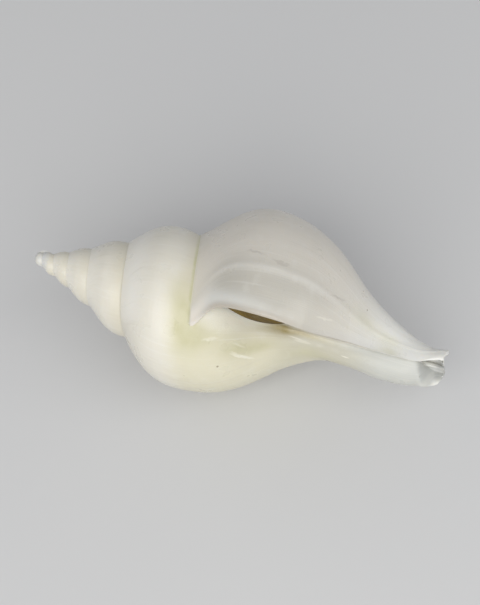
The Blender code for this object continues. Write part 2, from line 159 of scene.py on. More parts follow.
def rising(x, span):
    # from 0 at the span's start to 1 at the end of its length
    start, length = span
    return smoothstep((x - start) / length)


def smoothCurve(x, xs, ys):
    xs = np.asarray(xs, float)
    ys = np.asarray(ys, float)
    x = np.clip(x, xs[0], xs[-1])
    slopes = np.zeros(len(xs))
    steps = np.diff(ys) / np.diff(xs)
    slopes[1:-1] = np.where(steps[:-1] * steps[1:] > 0, (steps[:-1] + steps[1:]) / 2, 0.0)
    slopes[0] = steps[0]
    slopes[-1] = steps[-1]
    i = np.clip(np.searchsorted(xs, x) - 1, 0, len(xs) - 2)
    span = xs[i + 1] - xs[i]
    t = (x - xs[i]) / span
    return (
        ys[i] * (1 + 2 * t) * (1 - t) ** 2
        + ys[i + 1] * t * t * (3 - 2 * t)
        + slopes[i] * span * t * (1 - t) ** 2
        - slopes[i + 1] * span * t * t * (1 - t)
    )


def largerOf(a, b, blend):
    near = np.maximum(blend - np.abs(a - b), 0.0) / blend
    return np.maximum(a, b) + near * near * blend / 4


def sutureHeight(angle):
    turns = (angle - spiral["sutureHeightAngle"]) / 360
    drop = smoothstep((angle - spiral["sutureHeightAngle"]) / spiral["lastDropTurn"])
    pull = smoothstep((spiral["apexPullAngle"] - angle) / spiral["apexPullTurn"])
    grown = spiral["sutureHeight"] * spiral["heightGrowth"] ** turns
    return grown + spiral["lastDrop"] * drop - spiral["apexPull"] * pull


def sutureRadius(angle):
    turns = (angle - spiral["sutureRadiusAngle"]) / 360
    return spiral["sutureRadius"] * spiral["radiusGrowth"] ** turns


def swelling(angle, share):
    curves = ("swell", "swellSkew", "swellStart")
    depth, skew, start = (smoothCurve(angle, spiral["swellAngles"], spiral[name]) for name in curves)
    share = np.clip(share, 0.0, 1.0)
    wave = np.sin(math.pi * share**skew)
    return depth * np.where(share**skew < 0.5, np.abs(wave) ** start, wave)


def whorlRadius(angle, height):
    top = sutureHeight(angle)
    foot = sutureHeight(angle + 360)
    topRadius = sutureRadius(angle)
    footRadius = sutureRadius(angle + 360)
    share = (height - top) / (foot - top)
    side = topRadius + share * (footRadius - topRadius) + swelling(angle, share) * (foot - top)
    shortening = spiral["lipBaseShortening"] * smoothstep(1 + angle / spiral["lipBaseTurn"])
    reach = 1 + (height - foot) / (foot * (1 - shortening))
    base = footRadius * smoothCurve(reach, spiral["baseHeights"], spiral["baseRadii"])
    drawnIn = rising(angle, spiral["pinchSpan"])
    base = base - drawnIn * smoothCurve(height, spiral["pinchHeights"], spiral["pinch"])
    return np.where(share > 1, base, side)


def setback(height):
    rise = (height - neck["setbackStart"]) / (spiral["shellEnd"] - neck["setbackStart"])
    return neck["setback"] * smoothstep(rise)


def pillarRadius(angle, height):
    scale = spiral["radiusGrowth"] ** (np.minimum(angle + 360, 0.0) / 360)
    return scale * smoothCurve(height, neck["pillarHeights"], neck["pillarRadii"])


def neckRadius(angle, height):
    radius = smoothCurve(height, neck["heights"], neck["radii"])
    rise = smoothCurve(height, neck["heights"], neck["rise"])
    back = setback(height)
    turn = np.radians(angle)
    towards = rise * -np.sin(turn) + back * np.cos(turn)
    outline = towards + np.sqrt(np.maximum(towards**2 - rise**2 - back**2 + radius**2, 0.01))
    late = rising(height, neck["gutterSpan"])
    opened = angle + 360 + neck["lead"] * (1 - late) - neck["gutterDelay"] * late
    part = np.clip(opened / (neck["closing"] + neck["gutterClosing"] * late), 0.0, 1.0)
    share = smoothstep(part) ** (1 + (neck["gutterHollow"] - 1) * late)
    pillar = pillarRadius(angle, height)
    return pillar + share * (outline - pillar)


def outerRadius(angle, height):
    return largerOf(whorlRadius(angle, height), neckRadius(angle, height), neck["blend"])


def place(angle, height, radius):
    turn = np.radians(angle)
    upright = rising(height, spiral["apexLeanSpan"])
    side = spiral["apexLean"] * (1 - upright) - radius * np.sin(turn)
    front = radius * np.cos(turn) - setback(height)
    return np.stack(np.broadcast_arrays(height, side, front), axis=-1)


def tipHeight(angle):
    return smoothCurve(angle, lip["tipAngles"], lip["tipHeights"])


def lipSinus(share):
    return np.exp(-((np.clip(share, 0.0, 3.0) / lip["sinus"]) ** lip["sinusSharpness"]))


def lipAngle(height):
    share = (height - sutureHeight(0.0)) / (sutureHeight(360.0) - sutureHeight(0.0))
    sweep = (lip["sutureAngle"] - lip["angle"]) * lipSinus(share)
    return lip["angle"] + sweep + lipBend(height)


def lipBend(height):
    return smoothCurve(height, lip["bendHeights"], lip["bendAngles"])


def toeRounding(share):
    # the end of the lip at the suture is a rounded toe
    x = 1 - np.clip(share / lip["toeShare"], 0.0, 1.0)
    return lip["toeTurn"] * (lipSinus(share) - 1 + np.sqrt(1 - x * x))


def columnAngle(turns):
    return 360 * turns + smoothCurve(turns, lip["columnTurns"], (0.0, lip["sutureAngle"], lip["angle"]))


def wallThickness(lipTurn):
    turns = np.minimum(lipTurn, 0.0) / 360
    grown = walls["thickness"] * spiral["radiusGrowth"] ** (walls["growth"] * turns)
    behind = smoothstep((-lipTurn - walls["lipWidth"]) / walls["lipRamp"])
    return walls["lip"] + (grown - walls["lip"]) * behind


def callusAt(lipTurn):
    # thickness of the glaze on the inner side, fading out on the outside of the aperture
    behind = smoothstep((-lipTurn - walls["callusEdgeWidth"]) / walls["lipRamp"])
    inside = walls["callusEdge"] + (walls["callus"] - walls["callusEdge"]) * behind
    return inside * (1 - smoothstep(lipTurn / walls["callusSpread"]))


def insideOfWall(angle, height, lipTurn):
    step = 0.05
    rise = outerRadius(angle, height + step) - outerRadius(angle, height - step)
    slope = np.minimum(np.abs(rise / (2 * step)), walls["steepest"])
    return outerRadius(angle, height) - wallThickness(lipTurn) * np.sqrt(1 + slope**2)


def restTurn():
    # the turn that lays the shell on its side
    step = 0.05
    spot = place(pose["restAngle"], pose["restHeight"], outerRadius(pose["restAngle"], pose["restHeight"]))
    tangents = []
    for angleStep, heightStep in ((step, 0.0), (0.0, step)):
        ends = []
        for sign in (1, -1):
            angle = pose["restAngle"] + sign * angleStep
            height = pose["restHeight"] + sign * heightStep
            ends.append(place(angle, height, outerRadius(angle, height)))
        tangents.append(ends[0] - ends[1])
    down = np.cross(tangents[0], tangents[1])
    down *= np.sign(down @ (spot - np.array([pose["restHeight"], 0.0, 0.0]))) / np.linalg.norm(down)
    along = np.array([1.0, 0.0, 0.0]) - down[0] * down
    along /= np.linalg.norm(along)
    return np.array([along, np.cross(-down, along), -down])


turnToRest = restTurn()
moveToRest = np.array(pose["move"])


def toWorld(points):
    # shell frame in millimetres to the world in metres
    return (np.asarray(points) @ turnToRest.T + moveToRest) * 0.001


# Smooth random waves, the same on each run
waves = dict(size=4096, columnStep=131, rowStep=977)


def noiseTable(seed):
    return np.random.default_rng(seed).uniform(-1.0, 1.0, waves["size"])


def lineWave(x, seed):
    table = noiseTable(seed)
    i = np.floor(x).astype(int)
    t = smoothstep(x - i)
    return table[i % waves["size"]] * (1 - t) + table[(i + 1) % waves["size"]] * t


def sheetWave(x, y, seed):
    table = noiseTable(seed)
    i = np.floor(x).astype(int)
    j = np.floor(y).astype(int)
    u = smoothstep(x - i)
    v = smoothstep(y - j)

    def at(a, b):
        return table[(a * waves["columnStep"] + b * waves["rowStep"]) % waves["size"]]

    low = at(i, j) * (1 - u) + at(i + 1, j) * u
    high = at(i, j + 1) * (1 - u) + at(i + 1, j + 1) * u
    return low * (1 - v) + high * v


# The relief of the outside, in millimetres: growth folds, a growth stop and soft dents
relief = dict(
    bend=2.5,             # how far the growth lines wander, in degrees
    bendWidth=25.0,
    bendRows=5.0,
    bendSeed=12,
    folds=((9.0, 0.050, 3), (3.6, 0.022, 5), (17.0, 0.070, 8)),   # width in degrees, height, seed
    foldStrength=0.55,
    foldChange=0.45,
    foldPatch=3,          # a patch of stronger folds is this many folds wide
    foldRows=3.0,
    stopAngle=-22.0,
    stopHeight=0.15,
    stopWidth=2.6,
    stopStep=0.8,         # the shell stands lower just after the growth stop
    stopLength=4.0,
    stopSpan=(0.02, 0.26),   # the ridge of the growth stop fades out at the suture
    dents=((11.0, 0.06, 21), (5.0, 0.025, 27)),                   # size in millimetres, depth, seed
    dentLean=(0.37, 0.61),
    glints=((2.1, 0.10, 51), (1.1, 0.035, 53)),                   # short wrinkles on the belly
    glintPatch=4,
    glintRows=6.0,
    glintSharpness=1.6,
    glintLevel=0.3,
    bellyStart=(-372.0, 20.0),
    bellyEnd=(-290.0, 40.0),
    bellyAcross=(0.3, 0.5),
    firstHeight=3.0,      # the knob at the apex is smooth
    hiddenShare=0.25,     # the relief is weaker on the base inside the aperture
    hiddenSpan=(-300.0, 60.0),
    lipZone=-60.0,        # the band and the rounded edge lie after this angle
    bandHeight=0.17,      # the raised band along the lip
    bandWidth=3.2,
    bandFade=2.6,
    bandEnd=(66.0, 16.0),
    grooveGap=2.0,        # a faint groove behind the band
    grooveWidth=1.4,
    grooveShare=0.3,
)


def growthStopRidge(growth, across):
    ahead = (growth - relief["stopAngle"]) / relief["stopWidth"]
    step = smoothstep(ahead / 2 + 0.5) * np.exp(-np.maximum(ahead, 0) / relief["stopLength"])
    fade = rising(across, relief["stopSpan"])
    return relief["stopHeight"] * (np.exp(-ahead**2) - relief["stopStep"] * step) * fade


def reliefAt(growth, across, points):
    bent = growth + relief["bend"] * sheetWave(
        growth / relief["bendWidth"], across * relief["bendRows"], relief["bendSeed"]
    )
    out = np.zeros_like(growth)
    for width, height, seed in relief["folds"]:
        change = sheetWave(growth / (relief["foldPatch"] * width), across * relief["foldRows"], seed + 1)
        strength = relief["foldStrength"] + relief["foldChange"] * change
        out += height * lineWave(bent / width, seed) * strength
    out += growthStopRidge(growth, across)
    belly = rising(growth, relief["bellyStart"]) * (1 - rising(growth, relief["bellyEnd"]))
    belly = belly * rising(across, relief["bellyAcross"])
    for width, height, seed in relief["glints"]:
        change = sheetWave(growth / (relief["glintPatch"] * width), across * relief["glintRows"], seed + 1)
        patch = smoothstep(change * relief["glintSharpness"] - relief["glintLevel"])
        out += height * lineWave(bent / width, seed) * patch * belly
    lean, leanBack = relief["dentLean"]
    for size, depth, seed in relief["dents"]:
        x, y, z = np.moveaxis(points / size, -1, 0)
        out += depth * sheetWave(x + z * lean, y - z * leanBack, seed)
    return out * spiral["radiusGrowth"] ** (np.minimum(growth, 0.0) / 360)


mesh = dict(
    columns=230,
    whorlRows=34,
    whorlCrowding=1.15,
    baseRows=84,
    baseCrowding=1.35,
    baseSettle=2.6,
    alignSpan=(90.0, 10.0),   # down the neck the columns turn into the lip's line
    lipReach=0.12,        # the last share of a whorl, over which the columns turn into the lip's line
    baseAcrossLength=45.0,
    edgeSteps=(0.0, 0.10, 0.28, 0.52, 0.82, 1.2, 1.65, 2.2, 2.85, 3.6, 4.5, 5.5),
    loopSteps=1.5,
    loopGrowth=1.022,
)


# Soft patches of colour, by growth angle and height, with their widths
patches = dict(
    amber=((-360.0, 71.5, 11.0, 4.0, 1.0), (-349.0, 71.5, 12.0, 3.6, 0.55), (-357.0, 78.5, 7.0, 4.5, 0.55)),
    stain=(
        (-347.0, 46.2, 15.0, 2.6, 1.0),
        (-336.0, 48.8, 14.0, 4.2, 1.0),
        (-362.0, 43.3, 13.0, 2.6, 0.50),
        (-24.0, 99.0, 10.0, 4.0, 0.35),
        (-320.0, 65.0, 9.0, 5.5, 0.75),
        (-325.0, 60.0, 7.0, 3.0, 0.4),
        (-296.0, 79.5, 20.0, 6.0, 0.55),
        (-6.0, 100.0, 7.0, 3.0, 0.5),
        (-30.0, 92.0, 9.0, 4.0, 0.35),
        (-338.0, 55.0, 12.0, 4.0, 0.35),
    ),
)


def patchAt(name, angle, height):
    out = np.zeros(np.broadcast(angle, height).shape)
    for midAngle, midHeight, width, length, strength in patches[name]:
        away = ((angle - midAngle) / width) ** 2 + ((height - midHeight) / length) ** 2
        out += strength * np.exp(-away)
    return np.clip(out, 0.0, 1.0)


def columnPlaces():
    # where the columns of one whorl stand, in whorls before its end, crowded towards the end
    edge = np.array(mesh["edgeSteps"]) / 360
    even = np.linspace(edge[-1], 1.0, mesh["columns"] + 1)[1:]
    return np.concatenate([edge, even])[::-1][1:] * -1


def outsideGrid():
    # one strip that winds down from the apex: rows run from suture to suture, then down the base
    perWhorl = columnPlaces()
    count = len(perWhorl)
    whorls = math.ceil(-spiral["firstAngle"] / 360)
    alongs = np.concatenate([perWhorl - w for w in range(whorls - 1, -1, -1)])
    first = np.searchsorted(alongs, spiral["firstAngle"] / 360)
    alongs = alongs[first:]
    last = len(alongs) - 1
    shares = np.linspace(0, 1, mesh["whorlRows"] + 1) ** mesh["whorlCrowding"]
    along = alongs[:, None]
    share = shares[None, :]
    foot = columnAngle(along)
    top = columnAngle(along - 1) + 360
    angle = foot + (top - foot) * lipSinus(share)
    height = sutureHeight(angle) + share * (sutureHeight(angle + 360) - sutureHeight(angle))
    nearLip = smoothstep(1 + along / mesh["lipReach"])
    angle = angle + (lipBend(height) + toeRounding(share)) * nearLip
    height = sutureHeight(angle) + share * (sutureHeight(angle + 360) - sutureHeight(angle))
    radius = outerRadius(angle, height)
    firstWhorl = (np.arange(len(alongs)) < count)[:, None]
    rise = 1 - np.cos(share * math.pi / 2)
    domeHeight = spiral["apexHeight"] + (sutureHeight(angle + 360) - spiral["apexHeight"]) * rise
    domeRadius = sutureRadius(angle + 360) * np.sin(share * math.pi / 2) ** spiral["knobPower"]
    domeRadius = domeRadius + spiral["knobBulge"] * np.sin(share * math.pi)
    height = np.where(firstWhorl, domeHeight, height)
    radius = np.where(firstWhorl, domeRadius, radius)
    start = last - count
    baseAlong = alongs[start:][:, None]
    baseShare = (1 - (1 - np.linspace(0, 1, mesh["baseRows"] + 1)) ** mesh["baseCrowding"])[None, 1:]
    footAngle = columnAngle(baseAlong)
    footHeight = sutureHeight(footAngle + 360)
    guess = footHeight + baseShare * (tipHeight(footAngle) - footHeight)
    settle = 1 - np.exp(-(guess - footHeight) / mesh["baseSettle"])
    atStart = (lip["angle"] - lip["sutureAngle"]) * settle * -baseAlong
    aligned = rising(guess, mesh["alignSpan"])
    aligned = aligned + (1 - aligned) * smoothstep(1 + baseAlong / mesh["lipReach"])
    baseAngle = footAngle + atStart + (lipAngle(guess) - lip["angle"]) * aligned
    baseHeight = footHeight + baseShare * (tipHeight(baseAngle) - footHeight)
    baseRadius = outerRadius(baseAngle, baseHeight)
    grid = dict(alongs=alongs, count=count, last=last, start=start)
    grid["whorl"] = (angle, height, radius, np.broadcast_to(share, angle.shape))
    baseAcross = 1 + (baseHeight - footHeight) / mesh["baseAcrossLength"]
    grid["base"] = (baseAngle, baseHeight, baseRadius, baseAcross)
    return grid


def growthOf(angle, share):
    # the growth line that a place lies on: it sweeps forward at the suture, as the lip does
    return angle - (lip["sutureAngle"] - lip["angle"]) * lipSinus(share) - lip["angle"]


def roundedEdge(distance):
    # share of the way to the middle of the wall, at a distance behind the edge
    x = np.clip(1 - distance / walls["rimLength"], 0.0, 1.0)
    return 1 - np.sqrt(1 - x * x)


def lipBand(distance, height):
    band = 1 - smoothstep((distance - relief["bandWidth"]) / relief["bandFade"])
    behind = distance - relief["bandWidth"] - relief["grooveGap"]
    groove = np.exp(-((behind / relief["grooveWidth"]) ** 2))
    fade = 1 - rising(height, relief["bandEnd"])
    return relief["bandHeight"] * (band - relief["grooveShare"] * groove) * fade


def edgeShare(distance, height):
    # share of the wall taken off the outside at the lip: rounded, and thinned to an edge beside the canal
    thinned = rising(height, walls["thinStart"]) * (1 - rising(height, walls["thinEnd"]))
    bevel = thinned * walls["thinShare"] * (1 - smoothstep(distance / walls["thinWidth"]))
    return np.maximum(roundedEdge(distance) / 2, bevel)


def lipDistance(angle, height, radius, edge):
    # millimetres behind the growing edge, square to it
    step = 0.1
    slope = radius * np.radians(lipAngle(height + step) - lipAngle(height - step)) / (2 * step)
    return np.radians(edge - angle) * radius / np.sqrt(1 + slope**2)


def zipStrips(left, right, points):
    # triangles between two rows of vertices
    faces = []
    i = j = 0
    while i < len(left) - 1 or j < len(right) - 1:
        if i == len(left) - 1:
            stepLeft = False
        elif j == len(right) - 1:
            stepLeft = True
        else:
            aheadLeft = np.linalg.norm(points[left[i + 1]] - points[right[j]])
            aheadRight = np.linalg.norm(points[left[i]] - points[right[j + 1]])
            stepLeft = aheadLeft <= aheadRight
        if stepLeft:
            faces.append((left[i], left[i + 1], right[j]))
            i += 1
        else:
            faces.append((left[i], right[j + 1], right[j]))
            j += 1
    return [f for f in faces if len(set(f)) == 3]


def gridFaces(index):
    # quads between neighbouring columns of a table of vertex numbers
    a = index[:-1, :-1].ravel()
    b = index[:-1, 1:].ravel()
    c = index[1:, 1:].ravel()
    d = index[1:, :-1].ravel()
    return [tuple(dict.fromkeys(q)) for q in zip(a.tolist(), b.tolist(), c.tolist(), d.tolist())]


def finishLip(angle, height, radius, clearance):
    # the raised band along the lip, and its rounded edge; gives the distance behind the edge too
    edge = lipDistance(angle, height, radius, angle[-1:, :])
    near = angle > relief["lipZone"]
    radius = radius + np.where(near, lipBand(edge, height), 0.0)
    inner = np.maximum(insideOfWall(angle, height, angle * 0), outerRadius(angle - 360, height) + clearance)
    return radius - np.where(near, (radius - inner) * edgeShare(edge, height), 0.0), edge


# What the materials read from the mesh, besides the places
marking = dict(
    names=("growth", "across", "sutureGap", "lipGap", "lining", "along", "amber", "stain"),
    noLip=99.0,           # stands for a place with no lip near
    noSuture=30.0,        # the same for the suture, in millimetres
    noSutureShare=8.0,    # and as a share of the whorl
    lastSuture=(-360.0, 20.0),   # the suture below a whorl ends at the lip
    noTurn=999.0,         # and for a turn that never meets the aperture
    lipTurn=-90.0,        # the lip is near after this angle
    glazeStart=12.0,      # how fast the glaze sets in below the suture
)


def markTable(*columns):
    return np.stack(np.broadcast_arrays(*columns), axis=-1)


def outsideMarks(growth, across, sutureGap, edge, lined, angle, height):
    lipGap = np.where(angle > marking["lipTurn"], edge, marking["noLip"])
    patch = [patchAt(name, angle, height) for name in ("amber", "stain")]
    return markTable(growth, across, sutureGap, lipGap, lined, height, *patch)


def dressWhorls(angle, height, radius, across):
    # the whorls with their relief and the finished lip
    growth = growthOf(angle, across)
    bumps = reliefAt(growth, across, place(angle, height, radius))
    radius = radius + bumps * np.where(height < relief["firstHeight"], 0.0, 1.0)
    radius, edge = finishLip(angle, height, radius, walls["lipClearance"])
    pastLip = marking["noSutureShare"] * rising(angle, marking["lastSuture"])
    below = np.where(angle > sum(marking["lastSuture"]), marking["noSutureShare"] + 1, 1 - across + pastLip)
    sutureGap = np.minimum(across, below) * (sutureHeight(angle + 360) - sutureHeight(angle))
    return radius, outsideMarks(growth, across, sutureGap, edge, 0.0, angle, height)


def dressBase(angle, height, radius, across):
    # the base and the neck, with the glaze that spreads out of the aperture
    aligned = rising(height, mesh["alignSpan"])
    growth = angle - (lipAngle(height) - lip["angle"]) * aligned - lip["angle"]
    glaze = callusAt(np.where(angle < -180, angle + 360 - lipAngle(height), marking["noTurn"]))
    glaze = glaze * smoothstep((across - 1) * marking["glazeStart"])
    shown = rising(angle, relief["hiddenSpan"])
    bumps = reliefAt(growth, across, place(angle, height, radius))
    radius = radius + bumps * (relief["hiddenShare"] + (1 - relief["hiddenShare"]) * shown) + glaze
    radius, edge = finishLip(angle, height, radius, walls["baseClearance"])
    lined = np.clip(glaze / walls["callusEdge"], 0, 1)
    return radius, outsideMarks(growth, across, marking["noSuture"], edge, lined, angle, height)


def liningLoops():
    # the lining of the aperture and the canal goes in from the lip, loop by loop
    turns = [-t for t in mesh["edgeSteps"]]
    step = mesh["loopSteps"]
    while turns[-1] > walls["deepest"]:
        turns.append(turns[-1] - step)
        step *= mesh["loopGrowth"]
    turns = np.array(turns)[:, None]
    fade = 1 - rising(-turns, walls["sweepSpan"])
    deeper = smoothstep(-turns / walls["lipDepth"])
    top = sutureHeight(turns + fade * lip["sutureAngle"]) + walls["roof"] * wallThickness(turns) * deeper
    footShare = walls["closedFoot"] - walls["closedFootRise"] * smoothstep((-turns - 360) / 360)
    closedEnd = sutureHeight(turns + 360) * footShare
    opening = rising(turns, walls["canalOpening"])
    bottom = closedEnd + (spiral["shellEnd"] + walls["overrun"] - closedEnd) * opening
    return dict(turns=turns, fade=fade, deeper=deeper, top=top, bottom=bottom)


def liningSide(loops, lineAngle, lineHeight, side):
    # side 1 lies under the lip, side -1 over the whorl before
    turns, fade, deeper, top, bottom = loops.values()
    share = (lineHeight - lineHeight[:, :1]) / (lineHeight[:, -1:] - lineHeight[:, :1])
    angle = turns + fade * lineAngle
    tip = tipHeight(np.where(side > 0, angle, angle - 360)[:, -1:])
    height = top + share * (np.minimum(bottom, tip) - top)
    full = (height - top) / (bottom - top)
    rounding = np.sqrt(np.clip(1 - np.abs(2 * full - 1) ** walls["squareness"], 0.0, 1.0))
    rounding = 1 - (1 - rounding) * deeper
    callus = callusAt(turns) * smoothstep((height - top) / walls["callusRamp"])
    inner = np.maximum(outerRadius(angle - 360, height), walls["leastRadius"]) + callus
    least = walls["narrowest"] * smoothstep((height - top) / walls["narrowestRamp"]) + walls["leastGap"]
    gap = np.maximum(insideOfWall(angle, height, turns) - inner, least)
    return angle, height, inner + gap / 2 + side * gap / 2 * rounding


def liningMarks(angle, height, edge):
    amber = patchAt("amber", angle - 360, height)
    return markTable(angle, 0.5, marking["noSuture"], edge, 1.0, height, amber, 0.0)


def numbered(first, columns, rows):
    return first + np.arange(columns * rows).reshape(columns, rows)


def closeDeepEnd(points, marks, faces, ring):
    centre = len(points)
    faces += [(a, b, centre) for a, b in zip(ring, ring[1:] + ring[:1])]
    points = np.concatenate([points, points[ring].mean(axis=0)[None, :]])
    return points, np.concatenate([marks, marks[ring[0]][None, :]])


def closeCanalEnd(points, marks, faces, rim, gutter):
    # the end of the canal has a worn crest between the outside and the gutter
    reach = np.linalg.norm(points[rim][:, None, :] - points[gutter][None, :, :], axis=2)
    crest = (points[rim] + points[gutter][reach.argmin(axis=1)]) / 2
    number = np.arange(len(rim))
    ends = np.minimum(number, number[::-1])
    crest[:, 0] += walls["crestRise"] * smoothstep(ends / walls["crestEnds"])
    crestIndex = list(len(points) + number)
    points = np.concatenate([points, crest])
    faces += zipStrips(list(rim), crestIndex, points)
    faces += zipStrips(crestIndex, gutter, points)
    return points, np.concatenate([marks, marks[rim]])


def buildShell():
    grid = outsideGrid()
    count, last, start = grid["count"], grid["last"], grid["start"]
    rows, baseRows = mesh["whorlRows"], mesh["baseRows"]
    angle, height, radius, across = grid["whorl"]
    baseAngle, baseHeight, baseRadius, baseAcross = grid["base"]
    radius, whorlMarks = dressWhorls(angle, height, radius, across)
    baseRadius, baseMarks = dressBase(baseAngle, baseHeight, baseRadius, baseAcross)

    # the lining starts at the lip on one side and at the column a whorl before it on the other
    loops = liningLoops()
    lipAngles = np.concatenate([angle[-1], baseAngle[-1]])[None, :]
    lipHeights = np.concatenate([height[-1], baseHeight[-1]])[None, :]
    backAngle = np.concatenate([angle[start, rows:], baseAngle[0]])[None, :] + 360
    backHeight = np.concatenate([height[start, rows:], baseHeight[0]])[None, :]
    outAngle, outHeight, outRadius = liningSide(loops, lipAngles, lipHeights, 1)
    crest = np.concatenate([radius[-1], baseRadius[-1]])[None, :]
    distance = lipDistance(outAngle, outHeight, outRadius, outAngle[:1, :])
    outRadius = outRadius + (crest - outRadius[:1, :]) * roundedEdge(distance)
    inAngle, inHeight, inRadius = liningSide(loops, backAngle, backHeight, -1)
    outer = place(outAngle, outHeight, outRadius)
    inner = place(inAngle, inHeight, inRadius)

    # vertices: the apex, the whorls, the base and the two sides of the lining
    apexMarks = [spiral["firstAngle"], 0.0, marking["noSutureShare"] + 1, marking["noLip"], 0, 0, 0, 0]
    parts = [
        (np.array([spiral["apexHeight"], spiral["apexLean"], 0.0]), np.array(apexMarks)),
        (place(angle, height, radius)[:, 1:], whorlMarks[:, 1:]),
        (place(baseAngle, baseHeight, baseRadius), baseMarks),
        (outer[1:], liningMarks(outAngle, outHeight, distance)[1:]),
        (inner[1:], liningMarks(inAngle, inHeight, marking["noLip"])[1:]),
    ]
    points = np.concatenate([part.reshape(-1, 3) for part, _ in parts])
    marks = np.concatenate([part.reshape(-1, len(marking["names"])) for _, part in parts])

    # tables of vertex numbers; neighbouring parts share their edges
    whorl = np.zeros((last + 1, rows + 1), int)
    whorl[:, 1:] = numbered(1, last + 1, rows)
    whorl[count:, 0] = whorl[: last + 1 - count, rows]
    base = np.zeros((count + 1, baseRows + 1), int)
    base[:, 0] = whorl[start:, rows]
    base[:, 1:] = numbered(whorl[-1, -1] + 1, count + 1, baseRows)
    depth = len(loops["turns"])
    outIndex = np.zeros((depth, rows + baseRows + 1), int)
    outIndex[0] = np.concatenate([whorl[-1], base[-1, 1:]])
    outIndex[1:] = numbered(base[-1, -1] + 1, depth - 1, rows + baseRows + 1)
    inIndex = np.zeros((depth, baseRows + 1), int)
    inIndex[0] = base[0]
    inIndex[1:] = numbered(outIndex[-1, -1] + 1, depth - 1, baseRows + 1)

    # faces; a seam joins the first whorl, which ends in the apex, to the next
    seam = zipStrips(list(whorl[count - 1]), list(whorl[0]) + list(whorl[count, 1:]), points)
    faces = gridFaces(whorl[:count]) + seam + gridFaces(whorl[count:])
    faces += gridFaces(base) + gridFaces(outIndex) + gridFaces(inIndex)
    ring = list(outIndex[-1]) + list(inIndex[-1][-2:0:-1])
    points, marks = closeDeepEnd(points, marks, faces, ring)
    openLoops = int(np.sum(np.linalg.norm(outer[:, -1] - inner[:, -1], axis=1) > walls["closedGap"]))
    gutter = list(inIndex[:openLoops, -1]) + list(outIndex[:openLoops, -1][::-1])
    points, marks = closeCanalEnd(points, marks, faces, base[:, -1], gutter)
    return points, marks, faces


print("shell form ready")


def addObject(name, data):
    made = bpy.data.objects.new(name, data)
    bpy.context.scene.collection.objects.link(made)
    return made


def makePiece(name, built, markNames, sharpAngle):
    points, marks, faces = built
    data = bpy.data.meshes.new(name)
    data.from_pydata(toWorld(points).tolist(), [], faces)
    data.update()
    for column, markName in enumerate(markNames):
        layer = data.attributes.new(markName, "FLOAT", "POINT")
        layer.data.foreach_set("value", np.ascontiguousarray(marks[:, column], dtype=np.float32))
    tidyMesh(data)
    data.shade_smooth()
    data.set_sharp_from_angle(angle=math.radians(sharpAngle))
    print(name, "built:", len(data.polygons), "faces")
    return addObject(name, data)


def tidyMesh(data, joinDistance=2e-6, shortestEdge=1e-7):
    work = bmesh.new()
    work.from_mesh(data)
    bmesh.ops.remove_doubles(work, verts=work.verts, dist=joinDistance)
    bmesh.ops.dissolve_degenerate(work, edges=work.edges, dist=shortestEdge)
    bmesh.ops.recalc_face_normals(work, faces=work.faces)
    work.to_mesh(data)
    work.free()


shell = makePiece("shellBody", buildShell(), marking["names"], 60)
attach(shell, "root")
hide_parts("shell")


# The operculum: a horny leaf across the aperture, with rings round its pointed lower end
horn = dict(
    top=52.5,
    foot=83.0,
    innerLevel=-0.3,
    outerLevel=4.3,
    bulge=1.9,
    bulgeHeight=63.0,
    bulgeLength=9.0,
    thickness=0.9,
    roundness=2.2,
    gap=0.45,
    rows=110,
    columns=56,
    endMargin=0.006,
    edgeThinning=0.62,
    edgePower=5,
    endPower=9,
    ringHeight=0.055,
    ringCount=26.0,
    ringPower=0.7,
    pointWidth=0.75,      # the rings are drawn out towards the pointed end
    pointLength=1.05,
    wobbles=((0.02, 6.0, 9.0, 41), (0.008, 21.0, 30.0, 43)),   # of the rings: size, two paces, seed
    wear=(4.0, 5.0, 45),
    settling=6,           # rounds that bring the leaf to its level
)


